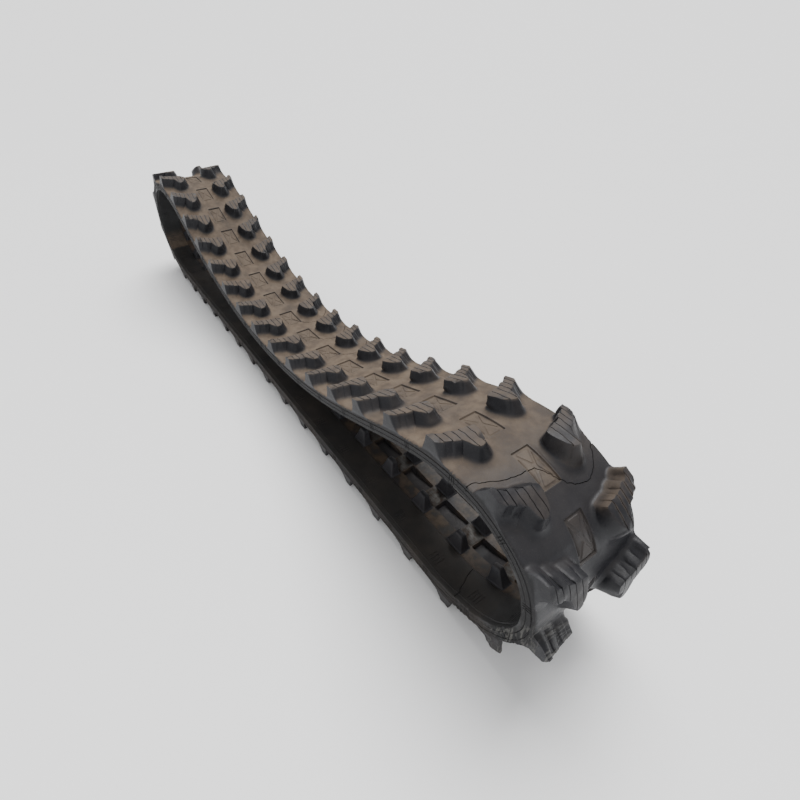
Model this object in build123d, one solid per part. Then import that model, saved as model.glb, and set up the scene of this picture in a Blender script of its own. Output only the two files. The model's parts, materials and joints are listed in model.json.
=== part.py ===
from build123d import *
import math
import os

# Rubber crawler track lying relaxed on the floor as a long, sagging loop.
# Frame: +X towards the near arch, +Y across the belt, +Z up, origin under the middle of the box.
# A link is one pitch of the belt. In its own frame +X runs along the belt, +Y across it and
# +Z outwards through the tread. Zero is the link's centre in the plane of the steel cords.

# ---- belt ----------------------------------------------------------------------------------
PITCH = 72.0
LINK_COUNT = 38
FLAT_LINKS = 14                # links that lie flat on the floor
BELT_HALF = 75.0               # half of the belt's width
OUTER = 9.0                    # tread face above the cord plane
INNER = -8.0                   # roller face below the cord plane
EDGE_BEVEL = 2.0

# ---- rest shape ----------------------------------------------------------------------------
FAR_BEND = 51.2                # degrees at the middle of the far arch
FAR_CENTRE = 16.8              # hinge number at the middle of the far arch
FAR_SPREAD = 2.93              # hinges over which the far arch's bend fades
NEAR_BEND = 54.0
NEAR_CENTRE = 35.65
NEAR_SPREAD = 2.76
SAG_BEND = 5.5                 # degrees that each hinge of the loop bends back

# ---- steel ---------------------------------------------------------------------------------
CORD_TOP = 1.5
CORD_BOTTOM = -1.0
CORD_REACH = 72.0
CORE_LENGTH = 22.0             # along the belt
CORE_REACH = 62.0              # half of its length across the belt
CORE_BOTTOM = -6.0
BRIDGE_LENGTH = 24.0
WINDOW_HALF = 12.0             # half of the drive window's width
STUD_TIP = -22.0               # the steel root inside each guide horn
STUD_SPAN = (16.5, 22.5)
STUD_BASE_HALF = 7.0
STUD_TIP_HALF = 3.5

# ---- guide horns ---------------------------------------------------------------------------
HORN_TIP = -28.0
HORN_BASE_SPAN = (12.5, 29.5)
HORN_TIP_SPAN = (15.5, 23.5)
HORN_BASE_LENGTH = 27.0
HORN_TIP_LENGTH = 12.0

# ---- tread lugs ----------------------------------------------------------------------------
LUG_TOP = 28.0
LUG_DRAFT = 13.0               # degrees
LUG_STAGGER = 47.0             # right lug's lead over the left one, along the belt
LUG_OUTLINE = [                # top face of a lug: along the belt, distance from its middle
    (-41.0, 73.0),
    (-28.5, 73.0),
    (-20.0, 62.0),
    (-16.0, 50.0),
    (0.0, 43.0),
    (0.0, 33.0),
    (-15.0, 26.0),
    (-25.0, 26.0),
    (-28.0, 42.0),
    (-34.5, 62.0),
]

# ---- room for flexing ----------------------------------------------------------------------
HINGE_GAP = 0.4                # each link's end stands back this much from the hinge line
FLEX_RELIEF = 3.0              # degrees cut from each end, above and below the cord plane
REACH_OUT = 45.0               # how far the cutting wedge extends outwards
REACH_IN = -40.0
CLOSE_TOLERANCE = 1e-9


# ---- the loop at rest ----------------------------------------------------------------------
def hinge_bends(sag_bend, near_bend, near_centre):
    """Bend at each hinge in radians: two arches over a constant backward bend."""
    bends = [0.0] * (LINK_COUNT + 1)
    for hinge in range(FLAT_LINKS, LINK_COUNT + 1):
        far = FAR_BEND * math.exp(-((hinge - FAR_CENTRE) / FAR_SPREAD) ** 2)
        near = near_bend * math.exp(-((hinge - near_centre) / NEAR_SPREAD) ** 2)
        bends[hinge] = math.radians(far + near - sag_bend)
    return bends


def walk_loop(bends):
    """Hinge points in XZ and each link's heading, starting at the flat run's near end."""
    heading = math.pi
    points = [(0.0, 0.0)]
    headings = []
    for link in range(LINK_COUNT):
        heading -= bends[link]
        headings.append(heading)
        x, z = points[-1]
        points.append((x + PITCH * math.cos(heading), z + PITCH * math.sin(heading)))
    return points, headings


def closing_error(values):
    """How far the end of the walk is from its start: turn in radians, then X and Z in pitches."""
    bends = hinge_bends(*values)
    points, headings = walk_loop(bends)
    x, z = points[-1]
    return [sum(bends) - 2.0 * math.pi, x / PITCH, z / PITCH]


def solve_three(matrix, right):
    """Three linear equations by Cramer's rule."""
    def determinant(m):
        return (m[0][0] * (m[1][1] * m[2][2] - m[1][2] * m[2][1])
                - m[0][1] * (m[1][0] * m[2][2] - m[1][2] * m[2][0])
                + m[0][2] * (m[1][0] * m[2][1] - m[1][1] * m[2][0]))
    whole = determinant(matrix)
    answer = []
    for column in range(3):
        swapped = [row[:column] + [value] + row[column + 1:] for row, value in zip(matrix, right)]
        answer.append(determinant(swapped) / whole)
    return answer


def close_loop():
    """Adjusts the sag and the near arch by Newton's method until the belt's ends meet."""
    values = [SAG_BEND, NEAR_BEND, NEAR_CENTRE]
    step = 1e-5
    for _ in range(30):
        error = closing_error(values)
        if max(abs(e) for e in error) < CLOSE_TOLERANCE:
            break
        columns = []
        for k in range(3):
            moved = list(values)
            moved[k] += step
            columns.append([(m - e) / step for m, e in zip(closing_error(moved), error)])
        matrix = [[columns[c][r] for c in range(3)] for r in range(3)]
        change = solve_three(matrix, [-e for e in error])
        values = [v + c for v, c in zip(values, change)]
    return hinge_bends(*values)


# ---- pieces in a link's own frame ----------------------------------------------------------
def wedge(link_span, start_bend, end_bend):
    """Room that a run of links may fill: cut at each end along the hinge's bisector."""
    relief = math.tan(math.radians(FLEX_RELIEF))
    start = -PITCH / 2 + HINGE_GAP
    end = (link_span - 0.5) * PITCH - HINGE_GAP
    start_slope = math.tan(start_bend / 2)
    end_slope = math.tan(end_bend / 2)
    outline = [
        (start, 0.0),
        (start - REACH_OUT * (start_slope - relief), REACH_OUT),
        (end + REACH_OUT * (end_slope - relief), REACH_OUT),
        (end, 0.0),
        (end + REACH_IN * (end_slope + relief), REACH_IN),
        (start - REACH_IN * (start_slope + relief), REACH_IN),
    ]
    return extrude(Plane.XZ * Polygon(*outline, align=None), BELT_HALF, both=True)


def along_belt(section, room):
    """A section in the link's YZ plane, run through the whole length of the wedge."""
    box = room.bounding_box()
    face = Plane.YZ.offset(box.min.X) * Polygon(*section, align=None)
    return extrude(face, box.max.X - box.min.X, dir=(1, 0, 0)) & room


def mirrored(solid, side):
    return solid if side > 0 else mirror(solid, about=Plane.XZ)


def tread_plate(room):
    section = [
        (-BELT_HALF, CORD_TOP),
        (BELT_HALF, CORD_TOP),
        (BELT_HALF, OUTER - EDGE_BEVEL),
        (BELT_HALF - EDGE_BEVEL, OUTER),
        (-BELT_HALF + EDGE_BEVEL, OUTER),
        (-BELT_HALF, OUTER - EDGE_BEVEL),
    ]
    return along_belt(section, room)


def roller_strip(room, side):
    section = [
        (WINDOW_HALF, INNER),
        (BELT_HALF - EDGE_BEVEL, INNER),
        (BELT_HALF, INNER + EDGE_BEVEL),
        (BELT_HALF, CORD_BOTTOM),
        (WINDOW_HALF, CORD_BOTTOM),
    ]
    return along_belt([(side * y, z) for y, z in section], room)


def cord_ply(room, side):
    section = [
        (WINDOW_HALF, CORD_BOTTOM),
        (CORD_REACH, CORD_BOTTOM),
        (CORD_REACH, CORD_TOP),
        (WINDOW_HALF, CORD_TOP),
    ]
    return along_belt([(side * y, z) for y, z in section], room)


def steel_core():
    """Cross bar with a thicker bridge between the drive windows and a stud for each horn."""
    wing_middle = (CORE_BOTTOM + CORD_BOTTOM) / 2
    core = Pos(0, 0, wing_middle) * Box(CORE_LENGTH, 2 * CORE_REACH, CORD_BOTTOM - CORE_BOTTOM)
    bridge_middle = (INNER + CORD_TOP) / 2
    core += Pos(0, 0, bridge_middle) * Box(BRIDGE_LENGTH, 2 * WINDOW_HALF, CORD_TOP - INNER)
    profile = [
        (-STUD_BASE_HALF, CORE_BOTTOM),
        (STUD_BASE_HALF, CORE_BOTTOM),
        (STUD_TIP_HALF, STUD_TIP),
        (-STUD_TIP_HALF, STUD_TIP),
    ]
    thickness = STUD_SPAN[1] - STUD_SPAN[0]
    for side in (-1, 1):
        face = Plane.XZ.offset(-side * sum(STUD_SPAN) / 2) * Polygon(*profile, align=None)
        core += extrude(face, thickness / 2, both=True)
    return core


def guide_horn(side):
    """Tapered rubber horn beside the drive windows, moulded over the core's stud."""
    faces = []
    for height, span, length in ((INNER, HORN_BASE_SPAN, HORN_BASE_LENGTH),
                                 (HORN_TIP, HORN_TIP_SPAN, HORN_TIP_LENGTH)):
        middle = side * (span[0] + span[1]) / 2
        faces.append(Pos(0, middle, height) * Rectangle(length, span[1] - span[0]))
    return loft(faces, ruled=True)


def tread_lug(side, room):
    """Drafted lug with its toe towards the belt's middle, cut to its own link."""
    lead = LUG_STAGGER if side > 0 else 0.0
    outline = [(x + lead, side * y) for x, y in LUG_OUTLINE]
    downwards = Plane(origin=(0, 0, LUG_TOP), x_dir=(1, 0, 0), z_dir=(0, 0, -1))
    face = downwards * Polygon(*[(x, -y) for x, y in outline], align=None)
    return extrude(face, LUG_TOP - OUTER, dir=(0, 0, -1), taper=-LUG_DRAFT) & room


# ---- placing -------------------------------------------------------------------------------
def link_place(points, headings, link):
    """Moves a piece from the link's own frame to the loop."""
    x = (points[link][0] + points[link + 1][0]) / 2
    z = (points[link][1] + points[link + 1][1]) / 2
    return Pos(x, 0, z) * Rot(0, -math.degrees(headings[link]), 0)


def solids_of(shape):
    return list(shape.solids())


def moving_link(link, bends, place):
    """One link of the arches or the upper run: its rubber and its steel."""
    room = wedge(1, bends[link], bends[link + 1])
    core = steel_core()
    rubber = [tread_plate(room)]
    steel = [core]
    for side in (-1, 1):
        rubber.append(roller_strip(room, side) - core)
        rubber.append(guide_horn(side) - core)
        rubber.append(tread_lug(side, room))
        steel.append(cord_ply(room, side))
    return {
        f"link_{link:02d}_rubber": [place * piece for piece in rubber],
        f"link_{link:02d}_steel": [place * piece for piece in steel],
    }


def ground_run(bends, place):
    """The links that lie on the floor, as long strips with repeated cores, horns and lugs."""
    room = wedge(FLAT_LINKS, bends[LINK_COUNT], bends[FLAT_LINKS])
    centres = [Pos(PITCH * link, 0, 0) for link in range(FLAT_LINKS)]
    cores = [centre * steel_core() for centre in centres]
    pieces = {
        "ground_tread_plate": [tread_plate(room)],
        "ground_steel_cores": cores,
    }
    for side, word in ((-1, "left"), (1, "right")):
        strip = roller_strip(room, side)
        for core in cores:
            strip -= core
        pieces[f"ground_{word}_roller_path"] = [strip]
        pieces[f"ground_{word}_cord_ply"] = [cord_ply(room, side)]
        horn = guide_horn(side) - steel_core()
        pieces[f"ground_{word}_guide_horns"] = [centre * horn for centre in centres]
        lugs = []
        for link, centre in enumerate(centres):
            start_bend = bends[LINK_COUNT] if link == 0 else 0.0
            end_bend = bends[FLAT_LINKS] if link == FLAT_LINKS - 1 else 0.0
            lugs.append(centre * tread_lug(side, wedge(1, start_bend, end_bend)))
        pieces[f"ground_{word}_lugs"] = lugs
    return {name: [place * piece for piece in group] for name, group in pieces.items()}


def build_track():
    """All nodes as lists of solids, moved so that the lugs stand on Z = 0, centred in X."""
    bends = close_loop()
    bends[0] = bends[LINK_COUNT]
    rest_bends = list(bends)
    rest_bends[0] = 0.0
    points, headings = walk_loop(rest_bends)
    nodes = ground_run(bends, link_place(points, headings, 0))
    for link in range(FLAT_LINKS, LINK_COUNT):
        nodes.update(moving_link(link, bends, link_place(points, headings, link)))
    box = Compound(children=[s for group in nodes.values() for p in group for s in solids_of(p)])
    limits = box.bounding_box()
    shift = Pos(-(limits.min.X + limits.max.X) / 2, 0, LUG_TOP)
    placed = {}
    for name, group in nodes.items():
        placed[name] = [shift * solid for piece in group for solid in solids_of(piece)]
    offset = -(limits.min.X + limits.max.X) / 2
    hinges = [(x + offset, z + LUG_TOP) for x, z in points]
    return placed, hinges, bends


def write_parts(nodes):
    os.makedirs("parts", exist_ok=True)
    for name, solids in nodes.items():
        shape = solids[0] if len(solids) == 1 else Compound(children=solids)
        export_step(shape, f"parts/{name}.step")


NODES, HINGES, BENDS = build_track()
write_parts(NODES)
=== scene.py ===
"""Rubber crawler track: one continuous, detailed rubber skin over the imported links."""
import json
import math

import bmesh
import bpy
import numpy as np
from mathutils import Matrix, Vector, noise
from mathutils.geometry import delaunay_2d_cdt


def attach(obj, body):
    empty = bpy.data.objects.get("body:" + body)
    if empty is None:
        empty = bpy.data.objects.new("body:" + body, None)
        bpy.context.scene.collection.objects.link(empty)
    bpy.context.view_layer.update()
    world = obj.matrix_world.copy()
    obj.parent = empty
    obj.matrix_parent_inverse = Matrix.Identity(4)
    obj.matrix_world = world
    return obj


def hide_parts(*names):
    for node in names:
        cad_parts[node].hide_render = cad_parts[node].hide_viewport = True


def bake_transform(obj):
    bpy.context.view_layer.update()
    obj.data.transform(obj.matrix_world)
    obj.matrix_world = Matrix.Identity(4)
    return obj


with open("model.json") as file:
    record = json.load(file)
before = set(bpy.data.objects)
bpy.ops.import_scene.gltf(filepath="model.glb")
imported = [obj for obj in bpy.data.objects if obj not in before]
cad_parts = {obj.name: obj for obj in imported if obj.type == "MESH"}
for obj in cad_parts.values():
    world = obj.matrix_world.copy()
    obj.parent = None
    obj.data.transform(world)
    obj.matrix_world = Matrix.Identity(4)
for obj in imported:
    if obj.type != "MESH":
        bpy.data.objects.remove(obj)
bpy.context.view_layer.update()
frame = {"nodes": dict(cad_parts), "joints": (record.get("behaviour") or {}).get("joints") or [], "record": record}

# Lengths are in millimetres until a mesh is made. In strip space u runs along the belt from a
# hinge, v across it and w outwards from the plane of the steel cords.
MM = 0.001
PITCH = 72.0
LINKS = 38
FLAT_LINKS = 14
OPEN_HINGE = 27
HALF = 75.0
OUTER = 9.0
INNER = -8.0
LUG_TOP = 28.0
CORE_REACH = 62.0
EDGE_DROP = 0.8
ARC_HALF = 32.0                # each hinge's bend is spread over this much belt on either side

rng = np.random.default_rng(38)
noise.seed_set(38)             # noise vectors follow the clock unless this is set


# ---- the centre line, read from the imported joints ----
def link_middle(link):
    """XZ middle of a link's cords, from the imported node's points outboard of its steel core."""
    mesh = frame["nodes"][f"link_{link:02d}_steel"].data
    co = np.array([v.co[:] for v in mesh.vertices]) / MM
    return co[np.abs(co[:, 1]) > CORE_REACH + 1][:, [0, 2]].mean(axis=0)


def read_hinges():
    """Hinge points 0 to 38 in XZ: the joints' own, and between two of those one pitch from both."""
    points = {}
    for joint in frame["joints"]:
        number = int(joint["name"].split("_")[1])
        x, _, z = joint["pos_m"]
        points[number] = np.array([x, z]) / MM
    start = points[LINKS]
    for k in range(FLAT_LINKS):
        points[k] = start + (points[FLAT_LINKS] - start) * k / FLAT_LINKS
    for k in range(FLAT_LINKS + 1, LINKS, 2):
        before, after = points[k - 1], points[k + 1]
        middle = (before + after) / 2
        along = (after - before) / np.linalg.norm(after - before)
        out = np.array([-along[1], along[0]])
        rise = math.sqrt(max(PITCH ** 2 - np.sum((after - before) ** 2) / 4, 0.0))
        seen = 2 * link_middle(k - 1) - before - middle
        points[k] = middle + math.copysign(rise, seen @ out) * out
    return np.array([points[k] for k in range(LINKS + 1)])


HINGE = read_hinges()
STEP = np.diff(HINGE, axis=0)
HEADING = np.unwrap(np.arctan2(STEP[:, 1], STEP[:, 0]))
BEND = np.zeros(LINKS)
for hinge in range(LINKS):
    turn = HEADING[hinge - 1] - HEADING[hinge]
    BEND[hinge] = (turn + math.pi) % (2 * math.pi) - math.pi


def along_and_out(heading):
    """Unit vectors along the belt and out through its tread."""
    return (np.stack([np.cos(heading), np.sin(heading)], -1),
            np.stack([-np.sin(heading), np.cos(heading)], -1))


def bent_place(hinge, u, w):
    """XZ of points on the smooth belt: straight at the cores, on an arc across each hinge."""
    u = np.asarray(u, float)
    carry = np.floor((u + PITCH / 2) / PITCH).astype(int)
    index = (hinge + carry) % LINKS
    u = u - carry * PITCH
    bend = BEND[index]
    bend = np.where(np.abs(bend) < 1e-5, 1e-5, bend)
    before = HEADING[index - 1]
    after = before - bend
    share = np.clip((u + ARC_HALF) / (2 * ARC_HALF), 0, 1)
    radius = ARC_HALF / np.tan(bend / 2)
    t0, n0 = along_and_out(before)
    t1, _ = along_and_out(after)
    _, n = along_and_out(before - share * bend)
    corner = HINGE[index]
    arc = corner - ARC_HALF * t0 + radius[:, None] * (n - n0)
    extra = np.clip(u + ARC_HALF, None, 0)[:, None] * t0 + np.clip(u - ARC_HALF, 0, None)[:, None] * t1
    return arc + extra + w[:, None] * n


def rigid_place(link, a, w):
    """XZ of points fixed to one link, a from its centre."""
    t, n = along_and_out(HEADING[link % LINKS])
    middle = (HINGE[link % LINKS] + HINGE[link % LINKS + 1]) / 2
    return middle + np.outer(a, t) + np.outer(w, n)


# ---- flat helpers ----
def resample(points, spacing, closed=False):
    """The same corners with extra points on each side, no further apart than spacing."""
    points = [np.asarray(p, float) for p in points]
    ends = points[1:] + ([points[0]] if closed else [])
    out = []
    for a, b in zip(points, ends):
        count = max(1, int(math.ceil(np.linalg.norm(b - a) / spacing)))
        out += [a + (b - a) * k / count for k in range(count)]
    if not closed:
        out.append(points[-1])
    return np.array(out)


def segment_distance(p, a, b):
    ab = b - a
    t = np.clip(((p - a) @ ab) / max(ab @ ab, 1e-12), 0, 1)
    return np.linalg.norm(p - (a + t[:, None] * ab), axis=1)


def line_distance(p, line):
    return np.min([segment_distance(p, a, b) for a, b in zip(line[:-1], line[1:])], axis=0)


def inside(p, loop):
    """Even-odd test."""
    hit = np.zeros(len(p), bool)
    for a, b in zip(loop, np.roll(loop, -1, axis=0)):
        if a[1] == b[1]:
            continue
        crosses = (a[1] > p[:, 1]) != (b[1] > p[:, 1])
        x = (b[0] - a[0]) * (p[:, 1] - a[1]) / (b[1] - a[1]) + a[0]
        hit ^= crosses & (p[:, 0] < x)
    return hit


def loop_distance(p, loop):
    """Signed distance, negative inside."""
    d = line_distance(p, np.vstack([loop, loop[:1]]))
    return np.where(inside(p, loop), -d, d)


def rounded(corners, radius, steps=4):
    """A loop with rounded corners."""
    corners = [np.asarray(c, float) for c in corners]
    out = []
    for k, corner in enumerate(corners):
        back = corners[k - 1] - corner
        ahead = corners[(k + 1) % len(corners)] - corner
        lb, la = np.linalg.norm(back), np.linalg.norm(ahead)
        cut = min(radius, 0.45 * lb, 0.45 * la)
        p, q = corner + back / lb * cut, corner + ahead / la * cut
        for s in np.linspace(0, 1, steps + 1):
            out.append((1 - s) ** 2 * p + 2 * s * (1 - s) * corner + s ** 2 * q)
    return np.array(out)


def box_loop(low, high, radius, steps=4):
    """A rectangle between two opposite corners, with rounded corners."""
    return rounded([low, (high[0], low[1]), high, (low[0], high[1])], radius, steps)


def box_around(half, grow, radius):
    """A rounded rectangle around the origin, larger than its half sides by grow."""
    u, v = half[0] + grow, half[1] + grow
    return box_loop((-u, -v), (u, v), radius)


def smooth(x, low, high):
    t = np.clip((x - low) / (high - low), 0, 1)
    return t * t * (3 - 2 * t)


# ---- the tread lug, a to the link's centre and y from the belt's middle ----
NEAR_EDGE = np.array([(73, -28.5), (68, -23), (58, -18), (50, -15), (48.5, -12), (46.5, -6), (44.5, -1),
                      (43, 1.5), (39, 2), (35, 1), (31, -2), (28, -8), (25.5, -17)], float)
FAR_EDGE = np.array([(73, -41), (68, -40), (65, -36.5), (60, -33.5), (49, -29.5), (38, -26), (30, -25),
                     (25.5, -24)], float)
TOE_END = 24.9                 # the toe's rounded end reaches to this y
SIPES = (66.0, 58.5, 50.5, 42.5, 33.5)
SIPE_HALF = 0.4
SIPE_DEPTH = 2.4
TOP_ROUND = 0.35
NEAR_STEPS = (0.2, -0.5, 0.6, -0.2, 0.7, -0.3)
FAR_STEPS = (0.0, 0.8, -0.6, 0.7, -0.5, 0.2)
DRAFT_NEAR = math.radians(24.0)
DRAFT_OTHER = math.radians(17.0)
FILLET_NEAR = 14.5
FILLET_OTHER = 4.6
WALL_REACH = 20.0              # no lug wall runs out further than this
RING_SHARES = (0.03, 0.08, 0.16, 0.26, 0.36, 0.46, 0.56, 0.66, 0.76, 0.86, 0.94, 1.0)


def edge_at(edge, y):
    return float(np.interp(-y, -edge[:, 0], edge[:, 1]))


def lug_outline():
    """Top face outline and, for each point, whether a sipe opens there."""
    limits = [NEAR_EDGE[0, 0], *SIPES, NEAR_EDGE[-1, 0]]
    loop = []

    def run(edge, steps, strips, outward):
        for k in strips:
            high, low = limits[k], limits[k + 1]
            first = high - (SIPE_HALF if k > 0 else 0)
            last = low + (SIPE_HALF if k < len(SIPES) else 0)
            ys = np.linspace(first, last, 6)
            ys = ys[::-1] if outward else ys
            for y in ys:
                loop.append((edge_at(edge, y) + steps[k], y, False))
            beyond = k - 1 if outward else k + 1
            if 0 <= beyond < len(steps):
                y = limits[k] if outward else limits[k + 1]
                a = edge_at(edge, y) + (steps[k] + steps[beyond]) / 2
                loop.append((a, y, True))

    count = len(limits) - 1
    run(NEAR_EDGE, NEAR_STEPS, range(count), False)
    loop.append((edge_at(FAR_EDGE, limits[-1]) + 2.0, TOE_END, False))
    run(FAR_EDGE, FAR_STEPS, range(count - 1, -1, -1), True)
    first, last = loop[0], loop[-1]
    for s in (0.25, 0.5, 0.75):
        loop.append((last[0] + (first[0] - last[0]) * s, last[1], False))
    return np.array([(a, y) for a, y, _ in loop]), np.array([f for _, _, f in loop])


def flow_out(outline, reach, step=0.25):
    """Lines that leave the outline along a smoothed distance and never cross."""
    dense = resample(outline, 1.0, closed=True)
    ahead = np.roll(outline, -1, axis=0) - np.roll(outline, 1, axis=0)
    normal = np.stack([ahead[:, 1], -ahead[:, 0]], 1)
    normal /= np.linalg.norm(normal, axis=1)[:, None]
    area = np.sum(outline[:, 0] * np.roll(outline[:, 1], -1) - np.roll(outline[:, 0], -1) * outline[:, 1])
    normal *= math.copysign(1.0, area)
    p = outline + normal * 0.6
    paths = [outline.copy(), p.copy()]
    run = [0.0, 0.6]
    while run[-1] < reach:
        gap = p[:, None, :] - dense[None]
        distance = np.linalg.norm(gap, axis=2)
        weight = np.exp(-0.9 * (distance - distance.min(axis=1)[:, None]))
        pull = np.sum(weight[:, :, None] * gap / np.maximum(distance, 1e-6)[:, :, None], axis=1)
        p = p + step * pull / np.linalg.norm(pull, axis=1)[:, None]
        paths.append(p.copy())
        run.append(run[-1] + step)
    return np.array(paths), np.array(run)


def wall_height(d, fillet, draft):
    """Height above the tread plate on a drafted wall that runs out in a hollow fillet, and its reach."""
    tall = LUG_TOP - OUTER
    centre = (fillet + (tall - fillet) * math.sin(draft)) / math.cos(draft)
    meets = centre - fillet * math.cos(draft)
    if d < meets:
        return tall - d / math.tan(draft), centre
    return fillet - math.sqrt(max(fillet ** 2 - (centre - d) ** 2, 0.0)), centre


def evened(values, rounds=6):
    """A closed run of values, each averaged with its neighbours."""
    for _ in range(rounds):
        values = (np.roll(values, 1) + values + np.roll(values, -1)) / 3
    return values


def lug_rings():
    """Rings of (a, y, height) from the top edge down to the tread plate."""
    outline, notch = lug_outline()
    paths, run = flow_out(outline, WALL_REACH)
    lead = paths[20] - outline
    lead /= np.linalg.norm(lead, axis=1)[:, None]
    near_side = smooth(lead[:, 0], 0.0, 0.5)
    fillet = evened(FILLET_OTHER + (FILLET_NEAR - FILLET_OTHER) * near_side)
    draft = evened(DRAFT_OTHER + (DRAFT_NEAR - DRAFT_OTHER) * near_side)
    rings = []
    top = np.full(len(outline), LUG_TOP)
    rings.append(np.column_stack([outline, np.where(notch, top - 1.6, top - TOP_ROUND)]))
    for share in RING_SHARES:
        ring = np.zeros((len(outline), 3))
        for j in range(len(outline)):
            _, reach = wall_height(0.0, fillet[j], draft[j])
            d = share * reach
            rise, _ = wall_height(d, fillet[j], draft[j])
            k = min(np.searchsorted(run, d), len(run) - 1)
            f = (d - run[k - 1]) / (run[k] - run[k - 1]) if k else 0.0
            spot = paths[k - 1][j] * (1 - f) + paths[k][j] * f if k else paths[0][j]
            height = OUTER + rise
            limit = 73.0 + 2.0 * (LUG_TOP - height) / (LUG_TOP - OUTER)
            # flutes run down the outboard end and the inboard end
            bulge = math.sin(math.pi * min(max((LUG_TOP - height) / 19.0, 0), 1))
            flute = 0.5 - 0.5 * math.cos(2 * math.pi * spot[0] / 3.4)
            if spot[1] >= limit:
                spot = np.array([spot[0], limit - 0.55 * flute * bulge])
            elif lead[j, 1] < -0.6:
                spot = spot + np.array([0, 0.9 * flute * bulge])
            ring[j] = (spot[0], spot[1], height)
        if share > 0.4:
            free = ring[:, 1] < HALF - 1.5
            for _ in range(5):
                soft = (np.roll(ring, 1, axis=0) + 2 * ring + np.roll(ring, -1, axis=0)) / 4
                ring[free, :2] = soft[free, :2]
        if share == 1.0:
            ring[:, 2] = OUTER
            ring[:, 1] = np.where(ring[:, 1] > HALF - 0.35, HALF, ring[:, 1])
        rings.append(ring)
    return outline, notch, rings


LUG_OUTLINE, LUG_NOTCH, LUG_RINGS = lug_rings()
LEFT_LUG_AT = 36.0             # u of the left lug's link centre, in the hinge's cell
RIGHT_LUG_AT = 11.0

# ---- one cell of the belt, centred on a hinge ----
END_SHIFT_V = (-75.0, -60.0, -52.0, -40.0, -30.4, -18.0, -14.0, 14.0, 18.0, 30.4, 40.0, 52.0, 60.0, 75.0)
END_SHIFT_U = (8.0, 14.0, 21.0, 28.0, 25.0, 14.0, 10.0, -2.0, -2.0, 3.0, 5.0, 0.0, -6.0, -13.0)
END_HALF = (3.5, 7, 11, 14, 18, 22, 26, 30.4, 31.4, 36, 40, 44, 48, 52, 56, 60, 64, 68.6, 69.2, 69.8, 72,
            73.6, 75)
END_VALUES = (*(-v for v in END_HALF[::-1]), 0, *END_HALF)     # v of the points on a cell's end
PATCH_HALF = (23.3, 13.7)
PATCH_ROUND = 2.2
WINDOW_HALF = (22.5, 10.8)
WINDOW_ROUND = 2.0
LEDGE_AT = (30.4, 31.4)
RIM_AT = (68.6, 69.2, 69.8)
MARK_OFFSETS = (-6.5, -2.2, 2.2, 6.5)
MARK_REACH = (48.5, 66.5)      # |v| of the marks' ends, and where they reach their full height
MARK_SPAN = (50.0, 65.0)
MARK_HALF = 0.55
SPLICE = [(-17.5, -75), (-17.5, -71), (-17, -67), (-13, -60), (-9, -50), (-5.5, -42), (-4, -34), (-2, -26),
          (0, -8), (0.5, -2), (6, 3), (13, 7.5), (20, 11), (26.5, 16), (31.5, 23), (34, 30), (35.6, 37),
          (35, 43), (32, 50), (28.5, 55), (23.5, 60), (17, 65.5), (11.5, 69.5), (10, 72), (10, 75)]
SPLICE_HALF = 0.45


def end_u(v):
    return np.interp(v, END_SHIFT_V, END_SHIFT_U)


def mark_lines():
    """(side, u from the link's centre, |v| where the line leaves the cell ahead for the one behind)."""
    side_v = np.linspace(*MARK_REACH, 3601)
    lines = []
    for side in (-1, 1):
        for offset in MARK_OFFSETS:
            for flank in (-MARK_HALF, 0.0, MARK_HALF):
                ahead = end_u(side * side_v) >= offset + flank
                leaves = side_v[np.count_nonzero(ahead) - 1] if ahead.any() else 0.0
                lines.append((side, offset + flank, leaves))
    return lines


MARK_LINES = mark_lines()
CROSSINGS = [side * v for side, _, v in MARK_LINES if MARK_REACH[0] < v < MARK_REACH[1]]
END_V = np.array(sorted([v for v in END_VALUES if min(abs(v - c) for c in CROSSINGS) > 0.45] + CROSSINGS))


def jagged(line):
    """The splice line with the small teeth of torn rubber flash."""
    points = resample(line, 3.0)
    teeth = rng.normal(0, 0.35, len(points))
    teeth *= smooth(HALF - np.abs(points[:, 1]), 3.2, 6.0)
    ahead = np.gradient(points, axis=0)
    ahead /= np.linalg.norm(ahead, axis=1)[:, None]
    moved = points + np.column_stack([-ahead[:, 1], ahead[:, 0]]) * teeth[:, None]
    moved[0], moved[-1] = points[0], points[-1]
    return moved


SPLICE_LINE = jagged(SPLICE)


def beside(line, offset, stop=74.2):
    """The same line moved sideways, kept off the belt's edges."""
    ahead = np.gradient(line, axis=0)
    ahead /= np.linalg.norm(ahead, axis=1)[:, None]
    moved = line + np.column_stack([-ahead[:, 1], ahead[:, 0]]) * offset
    return moved[np.abs(moved[:, 1]) < stop]


def to_left(ring):
    return np.column_stack([LEFT_LUG_AT + ring[:, 0], -ring[:, 1]])


def to_right(ring):
    return np.column_stack([RIGHT_LUG_AT + ring[:, 0], ring[:, 1]])


SPLICE_LINES = [SPLICE_LINE, beside(SPLICE_LINE, -SPLICE_HALF), beside(SPLICE_LINE, SPLICE_HALF)]
NOTCHES_AT = {-1: 35.0, 1: 17.0}   # u of the three small notches in each side band
NOTCH_OFFSETS = (-3.0, 0.0, 3.0)
NOTCH_DEPTH = 0.9
BAND_ROWS = ((6.3, 0.0), (5.2, 0.0), (4.6, 0.9), (4.0, 0.9), (3.4, 0.0), (0.9, 0.15), (-1.4, 0.0),
             (-2.0, 0.7), (-2.6, 0.0), (-5.6, 0.0))     # (w, how far the row stands back)
TOP_SPACING = 2.6              # between free points on a lug's top
TOP_CLEAR = 0.9
TREAD_SPACING = 4.2
ROLLER_SPACING = 4.6
CLEAR_SHARE = 0.38             # of their spacing, that free points keep from edges


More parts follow.
